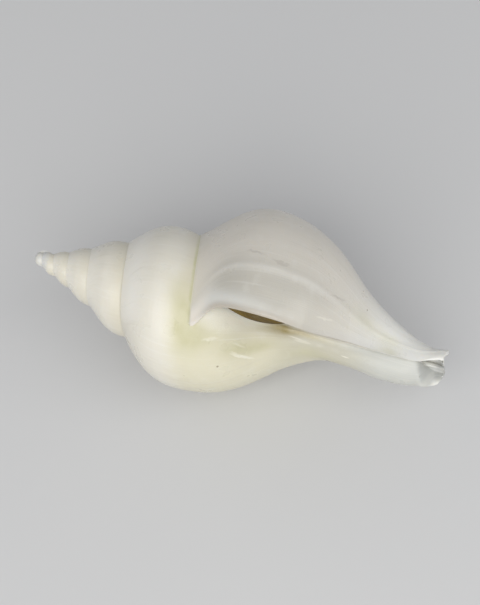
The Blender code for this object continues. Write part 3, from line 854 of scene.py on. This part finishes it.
def buildOperculum():
    share = np.linspace(horn["endMargin"], 1 - horn["endMargin"], horn["rows"] + 1)[:, None]
    height = horn["top"] + share * (horn["foot"] - horn["top"])
    bulge = (height - horn["bulgeHeight"]) / horn["bulgeLength"]
    innerLevel = horn["innerLevel"] + horn["bulge"] * bulge**2
    spread = np.sqrt(1 - np.abs(2 * share - 1) ** horn["roundness"]) / 2
    side = np.sin(np.linspace(-math.pi / 2, math.pi / 2, horn["columns"] + 1))[None, :]
    across = 0.5 + spread * side
    levels = innerLevel + across * (horn["outerLevel"] - innerLevel)
    angles = np.zeros_like(levels)
    for _ in range(horn["settling"]):
        lipTurns = angles - lipAngle(height)
        inner = np.maximum(outerRadius(angles - 360, height), walls["leastRadius"])
        low = inner + callusAt(lipTurns) + horn["gap"]
        high = insideOfWall(angles, height, lipTurns) - horn["gap"]
        radii = low + across * (high - low)
        angles = -np.degrees(np.arcsin(levels / radii))
    # distance from the pointed end, measured along the leaf, sets the rings
    fromPoint = np.hypot(1 - share, (across - 0.5) * horn["pointWidth"]) / horn["pointLength"]
    for size, pace, longPace, seed in horn["wobbles"]:
        fromPoint = fromPoint + size * sheetWave(across * pace, share * longPace, seed)
    ring = fromPoint * horn["ringCount"]
    rings = np.abs(np.sin(ring * math.pi)) ** horn["ringPower"]
    pace, longPace, seed = horn["wear"]
    wear = 0.5 + 0.5 * sheetWave(across * pace, share * longPace, seed)
    edge = np.abs(side) ** horn["edgePower"] * np.ones_like(share)
    edge = np.maximum(edge, np.abs(2 * share - 1) ** horn["endPower"])
    half = horn["thickness"] / 2 * (1 - horn["edgeThinning"] * edge)
    lift = horn["ringHeight"] * rings * wear * (1 - edge)
    turn = np.degrees((half + lift) / radii)
    points = np.concatenate([place(angles + t, height, radii).reshape(-1, 3) for t in (turn, -turn)])
    count = (horn["rows"] + 1) * (horn["columns"] + 1)
    front = np.arange(count).reshape(horn["rows"] + 1, horn["columns"] + 1)
    back = front + count
    faces = gridFaces(front) + gridFaces(back[:, ::-1])
    rim = list(front[0]) + list(front[1:, -1]) + list(front[-1, -2::-1]) + list(front[-2:0:-1, 0])
    faces += [(a, a + count, b + count, b) for a, b in zip(rim, rim[1:] + rim[:1])]
    marks = np.stack([ring, edge], axis=-1).reshape(-1, 2)
    return points, np.concatenate([marks, marks]), [tuple(int(n) for n in f) for f in faces]


operculum = makePiece("operculumLeaf", buildOperculum(), ("ring", "rim"), 70)
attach(operculum, "root")
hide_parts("operculum")


# A material is built from its node tree with these few helpers
def startMaterial(name):
    made = bpy.data.materials.new(name)
    made.use_nodes = True
    return made, made.node_tree, made.node_tree.nodes["Principled BSDF"]


def addNode(tree, kind, inputs, **settings):
    made = tree.nodes.new(kind)
    for key, value in settings.items():
        setattr(made, key, value)
    for key, value in inputs.items():
        if isinstance(value, bpy.types.NodeSocket):
            tree.links.new(value, made.inputs[key])
        else:
            made.inputs[key].default_value = value
    return made


def mark(tree, name):
    return addNode(tree, "ShaderNodeAttribute", {}, attribute_name=name).outputs["Fac"]


def maths(tree, operation, a, b=0.0):
    return addNode(tree, "ShaderNodeMath", {0: a, 1: b}, operation=operation).outputs[0]


def times(tree, a, b):
    return maths(tree, "MULTIPLY", a, b)


def plus(tree, a, b):
    return maths(tree, "ADD", a, b)


noiseSpread = (0.3, 0.7)   # most of a noise lies between these


def ramp(tree, value, low, high, atLow=0.0, atHigh=1.0):
    settings = {"Value": value, "From Min": low, "From Max": high, "To Min": atLow, "To Max": atHigh}
    return addNode(tree, "ShaderNodeMapRange", settings, interpolation_type="SMOOTHSTEP").outputs[0]


def mix(tree, share, a, b):
    made = tree.nodes.new("ShaderNodeMix")
    made.data_type = "RGBA"
    for socket, value in ((made.inputs[0], share), (made.inputs[6], a), (made.inputs[7], b)):
        if isinstance(value, bpy.types.NodeSocket):
            tree.links.new(value, socket)
        elif isinstance(value, tuple):
            socket.default_value = (*value, 1.0)
        else:
            socket.default_value = value
    return made.outputs[2]


def noise(tree, vector, scale, detail=2.0, roughness=0.5):
    settings = {"Vector": vector, "Scale": scale, "Detail": detail, "Roughness": roughness}
    return addNode(tree, "ShaderNodeTexNoise", settings).outputs["Fac"]


def pair(tree, x, y):
    return addNode(tree, "ShaderNodeCombineXYZ", {0: x, 1: y}).outputs[0]


def position(tree):
    return tree.nodes.new("ShaderNodeTexCoord").outputs["Object"]


def addZones(tree, look, marks, colour):
    # each zone is a colour and its share, a product of marks and of ramps over marks; a ramp is given
    # as the mark, the values where it starts and ends, and the shares there if they aren't 0 and 1
    for name, *factors in look["zones"]:
        shares = [marks[f] if isinstance(f, str) else ramp(tree, marks[f[0]], *f[1:]) for f in factors]
        share = shares[0]
        for other in shares[1:]:
            share = times(tree, share, other)
        colour = mix(tree, share, colour, look[name])
    return colour


def dressShader(tree, shader, look, marks, colour, worn):
    tree.links.new(colour, shader.inputs["Base Color"])
    roughness = ramp(tree, worn, *noiseSpread, *look["roughness"])
    tree.links.new(roughness, shader.inputs["Roughness"])
    for name, value in look["shader"].items():
        shader.inputs[name].default_value = value
    # the last bump feeds the shader, and each takes in the one before it
    target = shader.inputs["Normal"]
    for name, height in reversed(look["bumps"]):
        bump = addNode(tree, "ShaderNodeBump", {"Height": marks[name], "Distance": height, "Strength": 1.0})
        tree.links.new(bump.outputs[0], target)
        target = bump.inputs["Normal"]


ivory = dict(
    old=(0.755, 0.725, 0.632),          # the spire and the shoulder of the body whorl
    spireFoot=(0.600, 0.570, 0.480),    # the lower half of the spire's whorls
    shoulder=(0.880, 0.860, 0.795),     # painted light just below each suture, where the shoulder faces the light
    belly=(0.690, 0.655, 0.500),
    # the back of the body whorl: its own pinkish-grey tone, darkened with painted shade where the back
    # turns away from the light
    dorsal=(0.725, 0.685, 0.605),
    newest=(0.500, 0.480, 0.420),       # after the growth stop: its own tone, darkened with painted shade
    lipBand=(0.710, 0.707, 0.664),
    neck=(0.800, 0.795, 0.745),
    # painted shade on the underside of the neck
    neckUnder=(0.530, 0.535, 0.492),
    # painted shade in the hollow of the canal's gutter
    gutter=(0.525, 0.533, 0.500),
    # darker painted shade deep in the canal's end
    canalFloor=(0.380, 0.385, 0.365),
    toe=(0.820, 0.765, 0.680),          # the lip's pointed corner at the suture
    # warm tint before each suture, partly painted shade
    sutureTint=(0.650, 0.600, 0.440),
    sutureLine=(0.520, 0.510, 0.270),
    stain=(0.530, 0.505, 0.305),
    amber=(0.400, 0.322, 0.135),
    throat=(0.510, 0.490, 0.395),       # where the base turns into the neck: a yellower tone of its own, darkened with painted shade in the hollow
    streak=(0.600, 0.570, 0.470),
    pale=(0.830, 0.815, 0.765),
    apex=(0.660, 0.665, 0.650),
    porcelain=(0.850, 0.830, 0.735),
    lipEdge=(0.470, 0.425, 0.355),
    zones=(
        ("belly", ("bentAcross", 0.68, 1.12), ("growth", -400.0, -350.0)),
        ("spireFoot", ("across", 0.45, 0.80, 0.0, 0.35), ("growth", -400.0, -520.0)),
        # painted light on the shoulder below each suture
        ("shoulder", ("across", 0.46, 0.10, 0.0, 0.85), ("growth", -318.0, -345.0),
         ("growth", -560.0, -430.0, 0.5, 1.0)),
        # the back's own tone with painted shade
        ("dorsal", ("bentGrowth", -230.0, -110.0)),
        # painted shade over the newest growth, after the growth stop
        ("newest", ("pastStop", -18.0, 8.0), ("along", 96.0, 70.0, 0.0, 0.8),
         ("across", 0.08, 0.32, 0.3, 1.0)),
        ("neck", ("bentAlong", 86.0, 103.0, 0.0, 0.9)),
        # painted shade under the neck
        ("neckUnder", ("growth", -255.0, -300.0), ("along", 75.0, 97.0, 0.0, 0.9),
         ("along", 108.0, 111.0, 1.0, 0.6)),
        # own yellower tone and painted shade where the base turns into the neck
        ("throat", ("growth", -240.0, -285.0), ("growth", -353.0, -338.0), ("along", 66.0, 77.0, 0.0, 0.8),
         ("along", 99.0, 87.0)),
        # painted shade in the gutter's hollow
        ("gutter", ("growth", -298.0, -320.0), ("along", 104.5, 112.0), ("growth", -363.0, -350.0)),
        # painted shade deepest in the canal's end
        ("canalFloor", "canalWall", ("along", 111.0, 114.0, 0.0, 0.92)),
        ("apex", ("along", 4.6, 2.2)),
        # a pale line where growth stopped, then streaks that follow the growth lines
        ("pale", ("stopGap", 3.4, 0.0, 0.0, 0.30), ("along", 92.0, 78.0), ("across", 0.08, 0.30)),
        ("streak", ("streaks", 0.52, 0.80, 0.0, 0.35)),
        ("pale", ("lightLines", 0.54, 0.80, 0.0, 0.35)),
        ("pale", ("fineClouds", 0.55, 0.80, 0.0, 0.18)),
        # a wide warm tint before each suture, partly its own colour and partly painted shade where the
        # whorl curves in, and a thin olive line in the last one
        ("sutureTint", ("sutureGap", 4.6, 0.3), ("clouds", 0.3, 0.7, 0.3, 0.6),
         ("growth", -900.0, -420.0, 0.45, 1.0), ("across", 0.25, 0.6, 0.3, 1.0)),
        ("sutureLine", ("sutureGap", 0.9, 0.1), ("streaks", 0.3, 0.7, 0.3, 0.7), "lastSuture"),
        ("stain", "stain", ("fineClouds", 0.3, 0.7, 0.70, 1.0)),
        ("lipBand", ("lipGap", 6.4, 2.2, 0.0, 0.85), ("along", 76.0, 55.0)),
        ("toe", ("lipGap", 6.0, 1.0), ("along", 53.0, 48.5)),
        ("lipEdge", ("lipGap", 2.3, 0.2, 0.0, 0.9), ("along", 84.0, 70.0),
         ("along", 49.0, 54.0, 0.15, 1.0)),
        ("porcelain", "lining", ("along", 88.0, 74.0, 0.0, 0.7)),
        ("amber", "amber", ("fineClouds", 0.3, 0.7, 0.6, 1.0)),
    ),
    # short folds, and painted highlights, the widest of them painted light over a shaded hollow: growth
    # angle, height, half width in degrees, half length, lean, strength
    wrinkle=(0.400, 0.370, 0.320),
    wrinkles=(
        (-30.4, 60.8, 1.0, 2.8, 0.41, 0.34),
        (-26.8, 68.3, 1.0, 2.9, 0.00, 0.36),
        (-25.2, 84.5, 1.0, 2.2, -1.20, 0.32),
    ),
    # the colour of the painted highlights
    highlight=(0.890, 0.865, 0.760),
    highlights=(
        (-353.0, 57.0, 17.0, 9.0, 0.0, 0.60),
        (-331.4, 54.1, 1.6, 2.3, -0.7, 0.32),
        (-309.2, 62.6, 1.7, 3.4, 2.7, 0.50),
        (-313.5, 61.6, 1.0, 2.4, 2.7, 0.30),
        (-323.5, 61.4, 1.4, 1.8, 2.0, 0.25),
        (-335.8, 74.8, 2.0, 2.2, 1.1, 0.38),
        (-330.3, 76.8, 5.0, 2.6, 0.4, 0.32),
        (-323.8, 88.9, 2.6, 1.3, 0.0, 0.50),
        (-8.1, 82.9, 0.9, 2.3, -0.6, 0.32),
    ),
    streakEdge=1.3,                     # a streak ends at this squared distance, in half sizes
    sway=(-0.7, 0.7),                   # how far the sides of a streak wander, in degrees
    speck=(0.240, 0.190, 0.110),
    specks=((-308.4, 57.3, 0.42), (-42.2, 91.9, 0.30), (-57.4, 89.4, 0.26)),   # angle, height, radius in mm
    speckShare=0.75,
    blotches=dict(                      # scale and detail
        clouds=(60.0, 3.0),
        fineClouds=(260.0, 3.0),
        worn=(160.0, 3.0),
        wobble=(420.0, 2.0),
        grain=(1400.0, 2.0),
    ),
    # how far the clouds bend the edges of zones
    bends=dict(bentGrowth=("growth", 40.0), bentAcross=("across", 0.25), bentAlong=("along", 6.0)),
    # noise drawn out in lines: its pace along the growth and across it, detail and roughness
    lines=dict(
        streaks=(0.20, 1.3, 4.0, 0.6),
        lightLines=(0.47, 1.0, 3.0, 0.5),
        fineLines=(1.6, 2.5, 4.0, 0.65),
        threads=(0.03, 55.0, 1.0, 0.5),
    ),
    canalWall=(-270.0, -292.0),
    lastSuture=((-450.0, -395.0), (0.4, 0.6), (-90.0, -35.0)),   # before, its share of the whorl, after
    stopBend=3.0,
    stopShift=-1.5,
    bumps=(("fineLines", 0.00004), ("threads", 0.00002), ("grain", 0.000006)),
    roughness=(0.26, 0.42),
    shader={
        "Coat Weight": 0.2,
        "Coat Roughness": 0.15,
        "Subsurface Weight": 0.10,
        "Subsurface Radius": (1.0, 0.8, 0.55),
        "Subsurface Scale": 0.002,
    },
)


def ivoryMarks(tree):
    # everything that a zone can be laid out by
    marks = {name: mark(tree, name) for name in marking["names"]}
    growth, across = marks["growth"], marks["across"]
    marks["position"] = position(tree)
    for name, (scale, detail) in ivory["blotches"].items():
        marks[name] = noise(tree, marks["position"], scale, detail)
    for name, (source, amount) in ivory["bends"].items():
        marks[name] = plus(tree, marks[source], times(tree, marks["clouds"], amount))
    for name, (pace, acrossPace, detail, roughness) in ivory["lines"].items():
        drawnOut = pair(tree, times(tree, growth, pace), times(tree, across, acrossPace))
        marks[name] = noise(tree, drawnOut, 1.0, detail, roughness)
    marks["pastStop"] = maths(tree, "SUBTRACT", growth, relief["stopAngle"])
    shift = plus(tree, times(tree, marks["clouds"], ivory["stopBend"]), ivory["stopShift"])
    marks["stopGap"] = maths(tree, "ABSOLUTE", plus(tree, marks["pastStop"], shift))
    marks["canalWall"] = maths(tree, "MAXIMUM", ramp(tree, growth, *ivory["canalWall"]), marks["lining"])
    marks["sway"] = ramp(tree, marks["wobble"], *noiseSpread, *ivory["sway"])
    # the last suture has two sides: the foot of the whorl before and the top of the last one
    before, foot, after = ivory["lastSuture"]
    footSide = times(tree, ramp(tree, growth, *before), ramp(tree, across, *foot))
    marks["lastSuture"] = maths(tree, "MAXIMUM", footSide, ramp(tree, growth, *after))
    return marks


def streakShare(tree, marks, streak):
    # how much a short streak covers a place
    midGrowth, midHeight, width, length, lean, strength = streak
    ahead = maths(tree, "SUBTRACT", marks["along"], midHeight)
    middle = plus(tree, times(tree, ahead, lean), midGrowth)
    side = plus(tree, maths(tree, "SUBTRACT", marks["growth"], middle), marks["sway"])
    side = maths(tree, "DIVIDE", side, width)
    reach = maths(tree, "DIVIDE", ahead, length)
    away = plus(tree, times(tree, side, side), times(tree, reach, reach))
    return ramp(tree, away, ivory["streakEdge"], 0.0, 0.0, strength)


def ivoryMaterial():
    made, tree, shader = startMaterial("ivoryShell")
    marks = ivoryMarks(tree)
    colour = addZones(tree, ivory, marks, ivory["old"])
    for name in ("wrinkle", "highlight"):
        for streak in ivory[name + "s"]:
            colour = mix(tree, streakShare(tree, marks, streak), colour, ivory[name])
    for angle, height, size in ivory["specks"]:
        spot = toWorld(place(angle, height, outerRadius(angle, height))).tolist()
        ends = {0: marks["position"], 1: spot}
        away = addNode(tree, "ShaderNodeVectorMath", ends, operation="DISTANCE").outputs["Value"]
        dot = ramp(tree, away, size * 0.001, size * 0.0005, 0.0, ivory["speckShare"])
        colour = mix(tree, dot, colour, ivory["speck"])
    dressShader(tree, shader, ivory, marks, colour, marks["worn"])
    return made


brown = dict(
    dark=(0.040, 0.021, 0.007),
    mid=(0.135, 0.088, 0.016),
    amber=(0.250, 0.165, 0.028),
    zones=(
        ("mid", ("bands", 0.30, 0.60)),
        ("amber", ("clouds", 0.40, 0.75, 0.0, 0.5)),
        ("dark", ("specks", 0.54, 0.68, 0.0, 0.55)),
        ("dark", ("rim", 0.25, 0.9, 0.0, 0.85)),
    ),
    blotches=dict(clouds=(300.0, 4.0, 0.6), specks=(1700.0, 2.0, 0.5), grain=(1500.0, 3.0, 0.5)),
    bandBend=0.35,        # how far the clouds bend the bands, which follow the rings
    bands=(0.9, 4.0, 0.7),
    bumps=(("bands", 0.00006), ("grain", 0.00002)),
    roughness=(0.45, 0.70),
    shader={"Specular IOR Level": 0.12},
)


def hornMaterial():
    made, tree, shader = startMaterial("brownHorn")
    here = position(tree)
    marks = {name: noise(tree, here, *settings) for name, settings in brown["blotches"].items()}
    marks["rim"] = mark(tree, "rim")
    lines = pair(tree, mark(tree, "ring"), times(tree, marks["clouds"], brown["bandBend"]))
    marks["bands"] = noise(tree, lines, *brown["bands"])
    colour = addZones(tree, brown, marks, brown["dark"])
    dressShader(tree, shader, brown, marks, colour, marks["clouds"])
    return made


shell.data.materials.append(ivoryMaterial())
operculum.data.materials.append(hornMaterial())
print("materials ready")


# A plain studio: pale floor, soft light from the lower left of the picture, camera at the photo's angle
view = dict(
    tilt=7.0,             # how far the canal's end stands nearer to the camera
    slope=15.4,           # how far the axis falls to the right in the picture
    middle=57.5,
    shiftRight=0.522,
    shiftUp=3.296,
    frameHeight=163.72,   # millimetres in the picture's height
    distance=900.0,
    sensor=36.0,
    nearest=0.01,
)


def cameraAxes():
    tilt = math.radians(view["tilt"])
    slope = math.radians(view["slope"])
    towards = np.array([math.sin(tilt), 0.0, math.cos(tilt)])
    along = np.array([math.cos(tilt), 0.0, -math.sin(tilt)])
    back = np.array([0.0, 1.0, 0.0])
    right = along * math.cos(slope) + back * math.sin(slope)
    up = -along * math.sin(slope) + back * math.cos(slope)
    return right, up, towards


def addCamera():
    right, up, towards = cameraAxes()
    target = np.array([view["middle"], 0.0, 0.0]) + right * view["shiftRight"] + up * view["shiftUp"]
    spot = toWorld(target + towards * view["distance"])
    axes = [turnToRest @ a for a in (right, up, towards)]
    data = bpy.data.cameras.new("camera")
    data.sensor_fit = "VERTICAL"
    data.sensor_height = view["sensor"]
    data.lens = view["sensor"] * view["distance"] / view["frameHeight"]
    data.clip_start = view["nearest"]
    made = addObject("camera", data)
    turn = Matrix(np.array(axes).T.tolist()).to_4x4()
    made.matrix_world = Matrix.Translation(Vector(spot)) @ turn
    bpy.context.scene.camera = made
    return [Vector(a) for a in axes], Vector(toWorld(target))


cameraTurn, lookedAt = addCamera()


lighting = dict(
    key=dict(aim=(-0.38, -0.45, 1.0), far=0.85, size=1.0, power=4.4, colour=(1.0, 0.99, 0.97)),
    fill=dict(aim=(0.55, -0.12, 1.0), far=0.85, size=1.1, power=3.4, colour=(0.98, 0.99, 1.0)),
    air=(0.86, 0.87, 0.90),
    airPower=0.50,
)


def addLights():
    right, up, towards = cameraTurn
    for name in ("key", "fill"):
        item = lighting[name]
        aim = (right * item["aim"][0] + up * item["aim"][1] + towards * item["aim"][2]).normalized()
        lamp = bpy.data.lights.new(name, "AREA")
        lamp.shape = "DISK"
        lamp.size = item["size"]
        lamp.energy = item["power"]
        lamp.color = item["colour"]
        made = addObject(name, lamp)
        made.rotation_mode = "QUATERNION"
        made.rotation_quaternion = (-aim).to_track_quat("-Z", "Y")
        made.location = lookedAt + aim * item["far"]
    world = bpy.data.worlds.new("studioAir")
    bpy.context.scene.world = world
    world.use_nodes = True
    air = world.node_tree.nodes["Background"]
    air.inputs["Color"].default_value = (*lighting["air"], 1.0)
    air.inputs["Strength"].default_value = lighting["airPower"]


floorLook = dict(
    half=3.0,
    darker=(0.60, 0.60, 0.60),
    lighter=(0.63, 0.63, 0.625),
    clouds=(9.0, 3.0),
    roughness=0.9,
)


def addFloor():
    data = bpy.data.meshes.new("studioFloor")
    half = floorLook["half"]
    corners = [(-half, -half, 0), (half, -half, 0), (half, half, 0), (-half, half, 0)]
    data.from_pydata(corners, [], [(0, 1, 2, 3)])
    made = addObject("studioFloor", data)
    paint, tree, shader = startMaterial("paleFloor")
    clouds = noise(tree, position(tree), *floorLook["clouds"])
    colour = mix(tree, clouds, floorLook["darker"], floorLook["lighter"])
    tree.links.new(colour, shader.inputs["Base Color"])
    shader.inputs["Roughness"].default_value = floorLook["roughness"]
    data.materials.append(paint)


addLights()
addFloor()
print("studio ready")
bpy.context.scene.view_settings.view_transform = "Standard"
